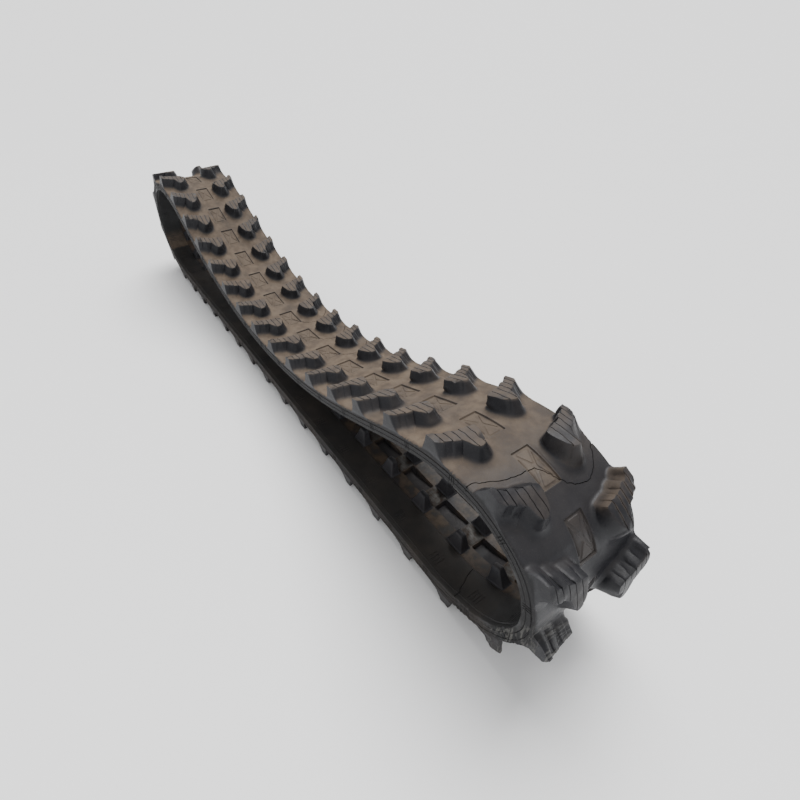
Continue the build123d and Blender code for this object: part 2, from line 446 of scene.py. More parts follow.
def edge_samples(side):
    """u of the points shared by the tread, the side band and the roller path along one edge."""
    ring = (to_left if side < 0 else to_right)(LUG_RINGS[-1])
    touching = np.sort(ring[np.abs(np.abs(ring[:, 1]) - HALF) < 1e-6, 0])
    start, end = -PITCH / 2 + end_u(side * HALF), PITCH / 2 + end_u(side * HALF)
    regular = np.linspace(start, end, 31)
    marks = np.array([o + k for o in NOTCH_OFFSETS for k in (-0.8, -0.3, 0.3, 0.8)]) + NOTCHES_AT[side]
    cut = SPLICE[0][0] if side < 0 else SPLICE[-1][0]
    special = np.concatenate([touching, marks[(marks > start + 1) & (marks < end - 1)], [cut]])
    keep = [r for r in regular[1:-1] if np.min(np.abs(special - r)) > 0.7
            and not touching[0] - 0.7 < r < touching[-1] + 0.7]
    marks_kept = [m for m in special if not (touching[0] < m < touching[-1]) or m in touching]
    return np.array(sorted({start, end, *np.round(keep, 5), *np.round(marks_kept, 5)}))


EDGE_U = {side: edge_samples(side) for side in (-1, 1)}


def boundary():
    """Outline of a cell, counter-clockwise from its first corner."""
    left = [(u, -HALF) for u in EDGE_U[-1]]
    ahead = [(PITCH / 2 + end_u(v), v) for v in END_V[1:-1]]
    right = [(u, HALF) for u in EDGE_U[1][::-1]]
    behind = [(-PITCH / 2 + end_u(v), v) for v in END_V[1:-1][::-1]]
    return np.array(left + ahead + right + behind)


BOUNDARY = boundary()


def staggered(spacing):
    """Free points over the whole cell, every other row half a step along, and how far they keep clear."""
    us = np.arange(-54, 66, spacing)
    vs = np.arange(-HALF + spacing * 0.8, HALF - 1, spacing * 1.25)
    free = np.array([(u + (spacing / 2 if k % 2 else 0), v) for k, v in enumerate(vs) for u in us])
    return free, spacing * CLEAR_SHARE


def fill(outline, loops, lines, holes, free, clear):
    """Triangulates an outline with loops and lines as edges and free points clear of them."""
    points, edges = [], []
    for chain, closed in [(outline, 1)] + [(loop, 1) for loop in loops] + [(line, 0) for line in lines]:
        first = len(points)
        points.extend(chain.tolist())
        edges.extend((first + k, first + k + 1) for k in range(len(chain) - 1))
        if closed:
            edges.append((first + len(chain) - 1, first))
    fixed = np.array(points)
    free = free[inside(free, outline)]
    for hole in holes:
        free = free[~inside(free, hole)]
    near = np.min([segment_distance(free, fixed[a], fixed[b]) for a, b in edges], axis=0)
    co = [Vector(p) for p in np.vstack([fixed, free[near > clear]])]
    verts, _, faces, _, _, _ = delaunay_2d_cdt(co, edges, [], 0, 1e-4)
    verts = np.array([tuple(v) for v in verts])
    faces = np.array([f for f in faces if len(f) == 3])
    middle = verts[faces].mean(axis=1)
    keep = inside(middle, outline)
    for hole in holes:
        keep &= ~inside(middle, hole)
    return verts, faces[keep]


PILLOWS = []
for du, dv in ((1, 0), (-1, 0), (0, 1), (0, -1)):
    if du:
        base = [(du * 19.6, -9.2), (du * 19.6, 9.2), (du * 2.6, 0.0)]
    else:
        base = [(-17.2, dv * 10.4), (17.2, dv * 10.4), (0.0, dv * 1.7)]
    PILLOWS.append(rounded(base, 2.4))


def rect_distance(p, half_u, half_v, radius):
    q = np.abs(p) - (np.array([half_u, half_v]) - radius)
    return np.linalg.norm(np.maximum(q, 0), axis=1) + np.minimum(np.max(q, axis=1), 0) - radius


def tread_height(p):
    """w of the tread plate between the lugs."""
    d = rect_distance(p, *PATCH_HALF, PATCH_ROUND)
    h = np.interp(d, [-2.0, -1.2, -0.5, 0.3, 1.6], [-1.5, 0.45, 0.6, 0.45, 0.0])
    raised = np.zeros(len(p))
    near = d < -1.0
    if near.any():
        raised[near] = np.max([np.interp(loop_distance(p[near], loop), [-0.9, 0.0], [0.9, 0.0])
                               for loop in PILLOWS], axis=0)
    drop = EDGE_DROP * smooth(np.abs(p[:, 1]), 73.0, HALF) ** 1.5
    return OUTER + h + raised - drop


def roller_height(p):
    """w of the inner face: roller paths, horn rows and drive windows."""
    side = np.abs(p[:, 1])
    h = np.interp(side, [0, LEDGE_AT[0], LEDGE_AT[1], 72.0, 73.6, HALF],
                  [INNER + 1.2, INNER + 1.2, INNER, INNER, INNER + 0.15, INNER + 0.9])
    h -= np.interp(side, RIM_AT, [0, 0.5, 0])
    window = rect_distance(p, *WINDOW_HALF, WINDOW_ROUND)
    floor = np.interp(p[:, 0], [-21, 8], [-2.6, 1.2])
    deep = np.interp(window, [-1.3, 0.0], [1.0, 0.0])
    h = h * (1 - deep) + floor * deep
    for centre in (-PITCH / 2, PITCH / 2):
        for offset in MARK_OFFSETS:
            across = np.abs(p[:, 0] - centre - offset)
            inward = np.interp(side, [MARK_REACH[0], *MARK_SPAN, MARK_REACH[1]], [0, 1, 1, 0])
            h += np.interp(across, [0, MARK_HALF], [0.55, 0]) * inward
    return h


def sipe_lines(place):
    """The floor and both edges of each sipe across the top of a lug."""
    lines = []
    for y in SIPES:
        mouths = [k for k in np.flatnonzero(LUG_NOTCH) if abs(LUG_OUTLINE[k, 1] - y) < 1e-6]
        for away in (-1, 0, 1):
            ends = [LUG_OUTLINE[k] for k in mouths]
            if away:
                beside_mouth = [(LUG_OUTLINE[k - 1], LUG_OUTLINE[k + 1]) for k in mouths]
                ends = [min(pair, key=lambda q: away * q[1]) for pair in beside_mouth]
            lines.append(place(resample(ends, 3.0)))
    return lines


class Welded:
    """Points that are each kept once, with a note on each, and the faces between them."""

    def __init__(self):
        self.points, self.notes, self.index = [], [], {}
        self.faces, self.hidden = [], []

    def weld(self, key, point, note):
        if key not in self.index:
            self.index[key] = len(self.points)
            self.points.append(point)
            self.notes.append(note)
        return self.index[key]

    def face(self, ids, hidden=False):
        ids = [i for k, i in enumerate(ids) if i != ids[k - 1]]
        if len(set(ids)) == len(ids) >= 3:
            self.faces.append(ids)
            self.hidden.append(hidden)


class Cell(Welded):
    """One pitch of belt around a hinge, in (u, v, w), with the lug that each point is on (0 for none)."""

    def add(self, u, v, w, lug=0):
        return self.weld((round(u, 2), round(v, 2), round(w, 2)), (u, v, w), lug)

    def sheet(self, spots, heights, triangles, lug=0):
        """Adds a triangulated surface. Returns its (u, v) spots and the points they became."""
        ids = [self.add(p[0], p[1], h, lug) for p, h in zip(spots, heights)]
        for t in triangles:
            self.face([ids[k] for k in t])
        return spots, ids

    def lug(self, lug, place):
        loop = place(LUG_RINGS[0])
        us, vs = (np.arange(loop[:, k].min(), loop[:, k].max(), TOP_SPACING) for k in (0, 1))
        free = np.array([(u, v) for u in us for v in vs])
        spots, triangles = fill(loop, [], sipe_lines(place), [], free, TOP_CLEAR)
        rim = line_distance(spots, np.vstack([loop, loop[:1]]))
        across = np.min([np.abs(np.abs(spots[:, 1]) - y) for y in SIPES], axis=0)
        groove = np.interp(across, [0.0, SIPE_HALF * 0.8], [SIPE_DEPTH, 0.0])
        height = LUG_TOP - TOP_ROUND * (rim < 1e-3) - groove * np.interp(rim, [0, 1.5], [0.66, 1.0])
        spots, ids = self.sheet(spots, height, triangles, lug)
        previous = [ids[int(np.argmin(np.linalg.norm(spots - p, axis=1)))] for p in loop]
        for ring in LUG_RINGS[1:]:
            current = [self.add(p[0], p[1], w, lug) for p, w in zip(place(ring), ring[:, 2])]
            for k in range(len(ring)):
                n = (k + 1) % len(ring)
                self.face([previous[k], previous[n], current[n], current[k]])
            previous = current

    def tread(self, feet):
        """The plate between the lugs, whose feet are these loops."""
        loops = list(feet)
        for g in (0.3, -0.5, -1.2, -2.0):
            border = box_around(PATCH_HALF, g, max(PATCH_ROUND + g, 0.6))
            loops.append(resample(border, 3.2, closed=True))
        for loop in PILLOWS:
            middle = loop.mean(axis=0)
            loops += [loop, middle + (loop - middle) * 0.84]
        spots, triangles = fill(BOUNDARY, loops, SPLICE_LINES, feet, *staggered(TREAD_SPACING))
        height = tread_height(spots)
        on_foot = np.min([line_distance(spots, np.vstack([r, r[:1]])) for r in feet], axis=0) < 1e-3
        height = np.where(on_foot, OUTER, height)
        on_edge = np.abs(np.abs(spots[:, 1]) - HALF) < 1e-6
        height = np.where(on_edge & ~on_foot, OUTER - EDGE_DROP, height)
        return self.sheet(spots, height, triangles)

    def roller_side(self):
        """The inner face, with the drive window and the marks on the roller paths."""
        window = [resample(box_around(WINDOW_HALF, g, WINDOW_ROUND + g), 3.0, closed=True)
                  for g in (0.0, -1.3)]
        lines = []
        for v in (*LEDGE_AT, *RIM_AT, 72.0, 73.6):
            for y in (-v, v):
                lines.append(resample([(-PITCH / 2 + end_u(y), y), (PITCH / 2 + end_u(y), y)], 4.0))
        low, high = MARK_REACH
        for side, at, leaves in MARK_LINES:
            ahead = (PITCH / 2, low, min(leaves, high))
            behind = (-PITCH / 2, max(leaves, low), high)
            for centre, start, end in (ahead, behind):
                if end - start > 0.01:
                    us = [end_u(side * v) if v == leaves and low < v < high else at for v in (start, end)]
                    ends = [(centre + u, side * v) for u, v in zip(us, (start, end))]
                    lines.append(resample(ends, 4.0))
        spots, triangles = fill(BOUNDARY, window, lines + SPLICE_LINES, [], *staggered(ROLLER_SPACING))
        return self.sheet(spots, roller_height(spots), triangles[:, ::-1])

    def side_bands(self, outer, inner):
        """The stepped sides between both sheets. Returns each column of points by side and u."""
        columns = {}
        for side in (-1, 1):
            grid = []
            for u in EDGE_U[side]:
                nick = any(abs(abs(u - NOTCHES_AT[side] - o) - 0.3) < 0.02 for o in NOTCH_OFFSETS)
                column = [nearest_id(outer, u, side * HALF)]
                for w, dent in BAND_ROWS:
                    deep = dent + (NOTCH_DEPTH if nick and -2.7 < w < 3.5 else 0)
                    column.append(self.add(u, side * (HALF - deep), w))
                column.append(nearest_id(inner, u, side * HALF))
                grid.append(column)
                columns[side, round(float(u), 3)] = column
            for left, right in zip(grid[:-1], grid[1:]):
                for k in range(len(left) - 1):
                    quad = [left[k], right[k], right[k + 1], left[k + 1]]
                    self.face(quad if side > 0 else quad[::-1])
        return columns


def nearest_id(sheet, u, v):
    spots, ids = sheet
    return ids[int(np.argmin(np.abs(spots[:, 0] - u) + np.abs(spots[:, 1] - v)))]


def rim_of(line, sheets, columns):
    """The closed outline of a wall that crosses the belt along this line."""
    length = np.concatenate([[0], np.cumsum(np.linalg.norm(np.diff(line, axis=0), axis=1))])
    strips = []
    for spots, ids in sheets:
        on = np.where(line_distance(spots, line) < 2e-3)[0]
        along = []
        for k in on:
            gaps = [segment_distance(spots[k][None], a, b)[0] for a, b in zip(line[:-1], line[1:])]
            m = int(np.argmin(gaps))
            along.append(length[m] + np.linalg.norm(spots[k] - line[m]))
        strips.append([(along[k] / length[-1], ids[on[k]]) for k in np.argsort(along)])
    first = columns[-1, round(float(line[0][0]), 3)]
    last = columns[1, round(float(line[-1][0]), 3)]
    return strips, first, last


CELL = Cell()
for number, place in ((1, to_left), (2, to_right)):
    CELL.lug(number, place)
SHEETS = CELL.tread([place(LUG_RINGS[-1]) for place in (to_left, to_right)]), CELL.roller_side()
COLUMNS = CELL.side_bands(*SHEETS)
CELL_ENDS = [rim_of(np.array([(sign * PITCH / 2 + end_u(v), v) for v in END_V]), SHEETS, COLUMNS)
             for sign in (-1, 1)]
CELL_CUT = rim_of(SPLICE_LINE, SHEETS, COLUMNS)
CELL_POINTS, CELL_LUGS, CELL_FACES = np.array(CELL.points), np.array(CELL.notes), CELL.faces


# ---- from the cell to the loop ----
SPLICED = {26, 28, 34, 38}     # hinges whose cells show the torn splice line
CRACKED = 38                   # the hinge where the left roller path is cracked through
CRACK_END = 73.7


def line_depth(points):
    """1 on the splice line, falling to 0 at its sides."""
    return np.interp(line_distance(points[:, :2], SPLICE_LINE), [0.0, SPLICE_HALF], [1.0, 0.0])


def splice_depth(points, hinge):
    """How deep the torn splice line is cut at points of this cell."""
    return (hinge in SPLICED) * line_depth(points)


def crack_depth(points, hinge):
    """How deep the crack across the left roller path is at points of this cell."""
    _, v, w = points.T
    here = (v < -LEDGE_AT[1]) & (v > -CRACK_END) & (w < INNER + 1.0)
    return (hinge == CRACKED) * here * line_depth(points)


def patch_fill(points):
    """1 inside the star patches, where earth stays packed."""
    inner = smooth(rect_distance(points[:, :2], *PATCH_HALF, PATCH_ROUND), -0.4, -1.6)
    return inner * (points[:, 2] > 3)


CHIP_SPOTS = np.array([(-27, 71), (-38, 71), (2, 41), (-7, 29), (-22, 27), (-16, 57)], float)


def worn(points, lug, seed):
    """A lug's (u, v, w) after wear: uneven edges and two chipped places."""
    dice = np.random.default_rng(1000 * lug + seed)
    u, v, w = points.T
    high = smooth(w, 12.0, 25.0)
    start = Vector(dice.uniform(0, 50, 3))
    drift = np.array([noise.noise_vector(Vector((p[0] / 6, p[1] / 6, p[2] / 16)) + start) for p in points])
    inboard = 1 - smooth(np.abs(v), 70.0, 72.5)
    sink = np.zeros(len(points))
    for spot in dice.choice(len(CHIP_SPOTS), 2, replace=False):
        centre = (to_left if lug == 1 else to_right)(CHIP_SPOTS[spot:spot + 1])[0]
        away = np.linalg.norm(points[:, :2] - centre, axis=1) * (1 + 0.4 * drift[:, 2])
        sink += dice.uniform(0.6, 3.4) * (1 - smooth(away, 1.0, dice.uniform(4.5, 8.5)))
    return np.column_stack([u + 1.1 * high * drift[:, 0], v + 0.9 * high * inboard * drift[:, 1],
                            w - high * (sink + 0.35 * (1 + drift[:, 2]))])


def creased(points, hinge):
    """How far the belt's left edge is creased inwards where the near arch is bent sharply."""
    along = hinge * PITCH + points[:, 0]
    amount = smooth(along / PITCH, 35.2, 36.2) * smooth(along / PITCH, 38.4, 37.6)
    amount *= smooth(-points[:, 1], 62.0, 74.0)
    where = np.flatnonzero(amount > 0)
    depth = np.zeros(len(points))
    for k in where:
        depth[k] = abs(noise.noise(Vector((along[k] / 5.0, 0.3, points[k, 2] / 14.0))))
    return 2.6 * amount * depth


def place_cell(points, lugs, hinge):
    """World XZ and Y of cell points. Lugs keep more of their own shape than the belt does."""
    inwards = creased(points, hinge)
    points = points.copy()
    for lug in (1, 2):
        points[lugs == lug] = worn(points[lugs == lug], lug, hinge)
    points[:, 1] += inwards
    u, v, w = points.T
    plate = lugs == 0
    w = w - np.where(plate & (w > 3), 1.3 * splice_depth(points, hinge), 0)
    w = w + 1.5 * crack_depth(points, hinge)
    xz = bent_place(hinge, u, w)
    for lug, link, shift in ((1, hinge, -36.0), (2, hinge - 1, 36.0)):
        mine = lugs == lug
        if not mine.any():
            continue
        stiff = 0.6 * smooth(w[mine], 10.0, 24.0)[:, None]
        fixed = rigid_place(link, u[mine] + shift, w[mine])
        xz[mine] = xz[mine] * (1 - stiff) + fixed * stiff
    return np.column_stack([xz[:, 0], v, xz[:, 1]])


def surface_noise(world, scale, seed):
    """Seeded fractal noise, about -1 to 1."""
    offset = Vector((seed * 17.3, seed * 5.1, seed * 9.7))
    return np.array([noise.fractal(Vector(p) / scale + offset, 0.6, 2.0, 3) for p in world])


def read(items, word, width=3, kind=float):
    """One property of every item, in rows of width numbers."""
    values = np.empty(len(items) * width, kind)
    items.foreach_get(word, values)
    return values.reshape(-1, width) if width > 1 else values


def store(mesh, word, values):
    """Keeps one number for each point."""
    mesh.attributes.new(word, "FLOAT", "POINT").data.foreach_set("value", np.asarray(values, np.float32))


def linked(name, data):
    """A new object in the scene."""
    obj = bpy.data.objects.new(name, data)
    bpy.context.collection.objects.link(obj)
    return obj


def turn_outwards(mesh, weld=False):
    """Makes every face of a closed mesh look outwards."""
    bm = bmesh.new()
    bm.from_mesh(mesh)
    if weld:
        bmesh.ops.remove_doubles(bm, verts=bm.verts, dist=1e-6)
    bmesh.ops.recalc_face_normals(bm, faces=bm.faces)
    if bm.calc_volume(signed=True) < 0:
        bmesh.ops.reverse_faces(bm, faces=bm.faces)
    bm.to_mesh(mesh)
    bm.free()


PARTING_REACH = 3.0
PACKED = {34: 1.0, 35: 0.3, 36: 0.2}     # how much earth the patches of the near arch hold


def parting(points):
    """How far points near the splice draw back from it, so that the open pivot can turn."""
    ahead = np.gradient(SPLICE_LINE, axis=0)
    ahead /= np.linalg.norm(ahead, axis=1)[:, None]
    away = np.column_stack([ahead[:, 1], -ahead[:, 0]])
    gap = np.linalg.norm(points[:, None] - SPLICE_LINE[None], axis=2)
    weight = np.exp(-gap)
    direction = weight @ away / np.maximum(weight.sum(axis=1), 1e-300)[:, None]
    direction /= np.maximum(np.linalg.norm(direction, axis=1), 1e-12)[:, None]
    share = 1 - smooth(line_distance(points, SPLICE_LINE), 0.0, PARTING_REACH)
    return SPLICE_HALF * direction * share[:, None]


OFF_TIES = 0.0017              # keeps round figures away from the ties of rounding
SURFACE_NORMALS = {}


class Skin(Welded):
    """Cells in one mesh, with how far each point is cut (which the material paints near black, as painted shade
    inside the cut) and packed with earth.
    """

    def __init__(self, name):
        super().__init__()
        self.name = name

    def cell(self, hinge, half=0):
        """Adds the cell, or only the half before (-1) or after (1) the splice line."""
        points = CELL_POINTS
        if half:
            points = points.copy()
            points[:, :2] += half * parting(points[:, :2])
        world = place_cell(points, CELL_LUGS, hinge)
        # how far the splice line and the crack are cut; the material paints this near black, as painted shade
        # inside the cut
        painted_cut_shade = splice_depth(CELL_POINTS, hinge) * (CELL_POINTS[:, 2] > 3) * (CELL_LUGS == 0)
        painted_cut_shade += crack_depth(CELL_POINTS, hinge)
        packed = patch_fill(CELL_POINTS) * PACKED.get(hinge, 0.7)
        ids = {}
        for f in CELL_FACES:
            if half and FACE_SIDE[tuple(f)] != half:
                continue
            for k in f:
                if k not in ids:
                    key = tuple(np.round(world[k] + OFF_TIES, 2))
                    ids[k] = self.weld(key, world[k], (painted_cut_shade[k], packed[k]))
            self.face([ids[k] for k in f])
        return ids

    def wall(self, ids, rim):
        """Closes an end with a wall between the tread, the side bands and the roller path."""
        (top, bottom), first, last = rim
        a, b = 0, 0
        while a < len(top) - 1 or b < len(bottom) - 1:
            if b == len(bottom) - 1 or (a < len(top) - 1 and top[a + 1][0] <= bottom[b + 1][0]):
                triangle = [top[a][1], top[a + 1][1], bottom[b][1]]
                a += 1
            else:
                triangle = [top[a][1], bottom[b + 1][1], bottom[b][1]]
                b += 1
            self.face([ids[k] for k in triangle], hidden=True)
        self.face([ids[k] for k in first], hidden=True)
        self.face([ids[k] for k in last], hidden=True)

    def build(self):
        mesh = bpy.data.meshes.new(self.name)
        co = np.array(self.points)
        mesh.from_pydata((co * MM).tolist(), [], self.faces)
        mesh.update()
        turn_outwards(mesh)
        # cut is painted near black in the material, as painted shade inside the splice line and the crack
        for word, values in zip(("cut", "packed"), np.array(self.notes).T):
            store(mesh, word, values)
        SURFACE_NORMALS[self.name] = self.surface_normals(mesh)
        return linked(self.name, mesh)

    def surface_normals(self, mesh):
        """Each point's normal from the belt's own faces, leaving out the walls inside the rubber."""
        faces = mesh.polygons
        weighted = read(faces, "normal") * read(faces, "area", 1)[:, None]
        points = read(mesh.loops, "vertex_index", 1, int)
        owner = np.repeat(np.arange(len(faces)), read(faces, "loop_total", 1, int))
        keep = ~np.array(self.hidden)[owner]
        total = np.zeros((len(mesh.vertices), 3))
        np.add.at(total, points[keep], weighted[owner[keep]])
        return total / np.maximum(np.linalg.norm(total, axis=1), 1e-12)[:, None]


def face_sides():
    """Which side of the splice line each face of the cell is on."""
    ends = SPLICE_LINE[0] - [0, 1], SPLICE_LINE[-1] + [0, 1]
    beyond = np.vstack([ends[0], SPLICE_LINE, ends[1], (80, 76), (80, -76)])
    middle = np.array([CELL_POINTS[f, :2].mean(axis=0) for f in CELL_FACES])
    sides = {}
    for f, after in zip(CELL_FACES, inside(middle, beyond)):
        lug = max(CELL_LUGS[f])
        sides[tuple(f)] = 1 if lug == 1 or (after and lug == 0) else -1
    return sides


FACE_SIDE = face_sides()


def body_of(link):
    """The body that carries a link."""
    for body, nodes in frame["record"]["behaviour"]["bodies"].items():
        if f"link_{link:02d}_rubber" in nodes:
            return body
    return "ground_run"


def belt_skin(name, hinges, half=0):
    """A skin over some cells, closed at both ends."""
    skin = Skin(name)
    for hinge in hinges:
        ids = skin.cell(hinge, half)
        if hinge == hinges[0]:
            skin.wall(ids, CELL_CUT if half > 0 else CELL_ENDS[0])
        if hinge == hinges[-1]:
            skin.wall(ids, CELL_CUT if half < 0 else CELL_ENDS[1])
    return skin.build()


skins = [(belt_skin("belt_ground_run", range(1, FLAT_LINKS)), None)]
for hinge in range(FLAT_LINKS, LINKS + 1):
    halves = {-1: "_before", 1: "_after"} if hinge == OPEN_HINGE else {0: ""}
    for half, word in halves.items():
        skins.append((belt_skin(f"belt_cell_{hinge}{word}", [hinge], half), (hinge, half)))


# ---- guide horns, steel cores and cords ----
HORN_LEVELS = (                # share of the height, extra width
    (-0.06, 2.2), (0.0, 1.5), (0.025, 0.7), (0.06, 0.25), (0.12, 0.0), (0.3, 0.0), (0.5, 0.0), (0.7, 0.0),
    (0.86, 0.0), (0.94, -0.15), (0.975, -0.55), (1.0, -1.3))
HORN_BASE = (12.6, 14.0, 29.0)  # half length, lowest y and highest y
HORN_TIP = (5.8, 16.0, 23.6)
HORN_FOOT = -6.9
HORN_TIP_AT = -28.5
CORE = ((-11.0, 11.0), (-62, 62), (-5.9, -1.6))    # lowest and highest a, y and w
BRIDGE = ((-12.2, 12.2), (-11.6, 11.6), (-7.9, 1.4))
BRIDGE_BEVEL = 1.2
STUD_Y = (16.6, 22.2)
STUD_HALF, STUD_TAPER = 6.5, 3.2
STUD_FOOT, STUD_HEIGHT = -5.5, 16.0
CORD_COUNT = 9
CORD_RADIUS = 1.0
CORD_W = 0.4
CORD_SPAN = (15.0, 70.0)


def ring_at(loop, w, side=1):
    """A loop in (a, y) at one height, on one side of the belt."""
    return np.column_stack([loop[:, 0], side * loop[:, 1], np.full(len(loop), w)])


def bar(a, y, w, bevel=0.8):
    """Rings of a bar with chamfered long edges: a, y and w are (low, high)."""
    rings = []
    for t, inset in ((0.0, bevel), (0.08, 0.0), (0.92, 0.0), (1.0, bevel)):
        loop = box_loop((a[0] + inset, y[0] + inset), (a[1] - inset, y[1] - inset), 2.0, 3)
        rings.append(ring_at(loop, w[0] + (w[1] - w[0]) * t))
    return rings


def horn(side):
    rings = []
    for share, grow in HORN_LEVELS:
        t = max(share, 0.0)
        half, low, high = (b + (p - b) * t for b, p in zip(HORN_BASE, HORN_TIP))
        loop = box_loop((-half - grow, low - grow), (half + grow, high + grow), 2.6 - 0.8 * t, 5)
        rings.append(ring_at(loop, HORN_FOOT + (HORN_TIP_AT - HORN_FOOT) * share, side))
    return rings


def stud(side):
    rings = []
    for t in (0.0, 0.5, 1.0):
        half = STUD_HALF - STUD_TAPER * t
        loop = box_loop((-half, STUD_Y[0]), (half, STUD_Y[1]), 1.5, 3)
        rings.append(ring_at(loop, STUD_FOOT - STUD_HEIGHT * t, side))
    return rings


def cord(hinge, us, v):
    """World rings of a round cord that follows the smooth belt."""
    angles = np.arange(6) * math.pi / 3
    rings = []
    for u in us:
        xz = bent_place(np.full(6, hinge), np.full(6, u), CORD_W + CORD_RADIUS * np.sin(angles))
        rings.append(np.column_stack([xz[:, 0], v + CORD_RADIUS * np.cos(angles), xz[:, 1]]))
    return rings


def on_link(link, rings):
    """World rings of (a, y, w) rings fixed to a link."""
    placed = []
    for ring in rings:
        xz = rigid_place(link, ring[:, 0], ring[:, 2])
        placed.append(np.column_stack([xz[:, 0], ring[:, 1], xz[:, 1]]))
    return placed


def lofted(name, solids):
    """One mesh of closed solids, each given as its world rings."""
    points, faces = [], []
    for rings in solids:
        first, n = len(points), len(rings[0])
        points.extend(np.vstack(rings).tolist())
        for r in range(len(rings) - 1):
            for k in range(n):
                a, b = first + r * n + k, first + r * n + (k + 1) % n
                faces.append((a, b, b + n, a + n))
        top = first + (len(rings) - 1) * n
        faces.append(tuple(range(top, top + n)))
        faces.append(tuple(range(first, first + n))[::-1])
    mesh = bpy.data.meshes.new(name)
    mesh.from_pydata((np.array(points) * MM).tolist(), [], faces)
    turn_outwards(mesh, weld=True)
    return linked(name, mesh)


def horn_mesh(name, links):
    return lofted(name, [on_link(link, horn(side)) for link in links for side in (-1, 1)])


def core_mesh(name, links):
    parts = (bar(*CORE), bar(*BRIDGE, BRIDGE_BEVEL), stud(-1), stud(1))
    return lofted(name, [on_link(link, part) for link in links for part in parts])


def cord_mesh(name, hinge, us):
    spots = np.linspace(*CORD_SPAN, CORD_COUNT)
    return lofted(name, [cord(hinge, us, v) for side in (-1, 1) for v in spots * side])


ground_links = range(FLAT_LINKS)
ground_us = np.linspace(-PITCH + 0.5, (FLAT_LINKS - 1) * PITCH - 0.5, 4)
link_us = np.linspace(0.4, PITCH - 0.4, 9)
horns = [(horn_mesh("guide_horns_ground", ground_links), "ground_run")]
cores = [(core_mesh("steel_cores_ground", ground_links), "ground_run")]
cords = [(cord_mesh("steel_cords_ground", 1, ground_us), "ground_run")]
for link in range(FLAT_LINKS, LINKS):
    body = body_of(link)
    horns.append((horn_mesh(f"guide_horns_{link:02d}", [link]), body))
    cores.append((core_mesh(f"steel_core_{link:02d}", [link]), body))
    cords.append((cord_mesh(f"steel_cords_{link:02d}", link, link_us), body))


# ---- what the rubber's material reads from the mesh ----
NEAR_ARCH_X = HINGE[34, 0]


def paint(obj):
    """Stores dust, mud and shade amounts on the points of a rubber piece."""
    co = read(obj.data.vertices, "co") / MM
    is_belt = obj.name in SURFACE_NORMALS
    normal = SURFACE_NORMALS[obj.name] if is_belt else read(obj.data.vertex_normals, "vector")
    gap = co[:, None, [0, 2]] - ((HINGE[:-1] + HINGE[1:]) / 2)[None]
    nearest = np.argmin(np.linalg.norm(gap, axis=2), axis=1)
    out_axis = along_and_out(HEADING)[1][nearest]
    w = np.einsum("ij,ij->i", gap[np.arange(len(co)), nearest], out_axis)
    outward = np.einsum("ij,ij->i", normal[:, [0, 2]], out_axis)
    x, y, z = co.T
    up = normal[:, 2]
    side = np.abs(y)

    def along(start, end):
        """0 to 1 between two distances past the near arch's first hinge."""
        return smooth(x, NEAR_ARCH_X + start, NEAR_ARCH_X + end)

    cloud = surface_noise(co, 55.0, 1)
    fine = surface_noise(co, 12.0, 2)
    near_arch = along(-75, 45)
    # wall: the lug walls between their foot and their top edge, painted darker in the material as painted shade
    wall = smooth(w, OUTER + 1.0, OUTER + 5.0) * smooth(w, LUG_TOP - 0.6, LUG_TOP - 2.4)
    dust = smooth(up, 0.45, 0.93) * (0.9 + 0.25 * cloud) * (1 - 0.93 * near_arch)
    # the plate gets darker towards the near arch
    dust *= 1 - 0.16 * along(-420, -80)
    # painted shade: dust is taken off the lug walls so that they stay dark
    dust *= 1 - 0.85 * wall
    dust += 0.17 * near_arch * smooth(w, LUG_TOP - 2.0, LUG_TOP - 0.6) * smooth(up, -0.2, 0.6)
    sheltered = along(-30, 60) * smooth(up, 0.05, 0.6) * (smooth(z, 190, 215) * smooth(y, -20, 20))
    dust += 0.55 * sheltered * smooth(outward, 0.95, 0.6) * (w > OUTER + 1)
    dust *= 1 - 0.3 * smooth(w, LUG_TOP - 3, LUG_TOP - 1)
    dust = np.where(z < 60.0, 0.10 + 0.08 * cloud, dust)
    dust += 0.12 * fine * dust
    horn_row = smooth(side, 31.5, 29.5) * ((w < -6.0) & is_belt)
    window = (side < 11.2) & (w > -6.4) & (w < 2.0)
    # painted shade: tread faces turned downwards, and the whole near arch, are painted darker
    shaded = np.maximum(smooth(up, 0.15, -0.5), 0.6 * near_arch) * (w > 3)
    values = {
        "dust": np.clip(dust * (1.0 if is_belt else 0.35), 0, 1),
        "mud": np.clip(horn_row * (0.75 + 0.5 * cloud) * ~window, 0, 1),
        "inner": (w < -7.2) * smooth(side, 28, 32),
        # wall holds painted shade: the lug walls, downward faces and the near arch
        "wall": np.clip(np.maximum(wall, shaded) * (0.8 + 0.3 * cloud), 0, 1),
        "scuff": along(5, 75) * smooth(z, 165, 85) * smooth(-y, 5, 70) * (w > -7),
        # side: painted shade, the belt's side bands are painted darker than the rubber
        "side": smooth(side, 73.0, 73.9) * smooth(np.abs(w), 9.6, 8.0),
    }
    for name, data in values.items():
        store(obj.data, name, data)


